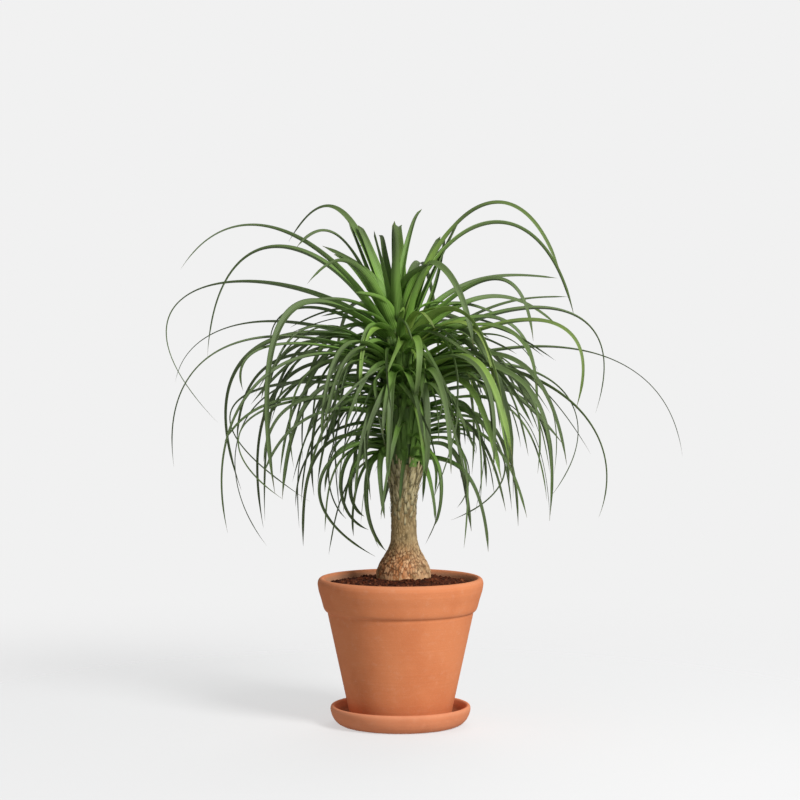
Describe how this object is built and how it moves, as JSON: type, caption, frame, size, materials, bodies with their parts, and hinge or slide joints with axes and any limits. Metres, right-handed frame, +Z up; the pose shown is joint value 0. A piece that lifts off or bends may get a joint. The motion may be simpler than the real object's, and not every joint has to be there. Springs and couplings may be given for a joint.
{
  "type": "potted ponytail palm",
  "caption": "Potted ponytail palm: a slim trunk with a swollen base and a fountain of arching strap leaves, in a banded terracotta pot that stands on its drip saucer.",
  "frame": {"origin": "centre of the saucer's flat underside, where the plant stands on a table or floor", "axes": "+Z up along the pot's axis; someone facing the plant as in the picture looks along +Y, with +X to the right"},
  "size_m": [0.5411, 0.3352, 0.5225],
  "materials": {
    "terracotta": "matte",
    "potting_soil": "matte",
    "bark": "matte",
    "leaf": "satin"
  },
  "bodies": {
    "root": {"saucer": "terracotta", "pot": "terracotta", "soil": "potting_soil", "trunk": "bark", "leaf_crown": "leaf"}
  },
  "joints": []
}
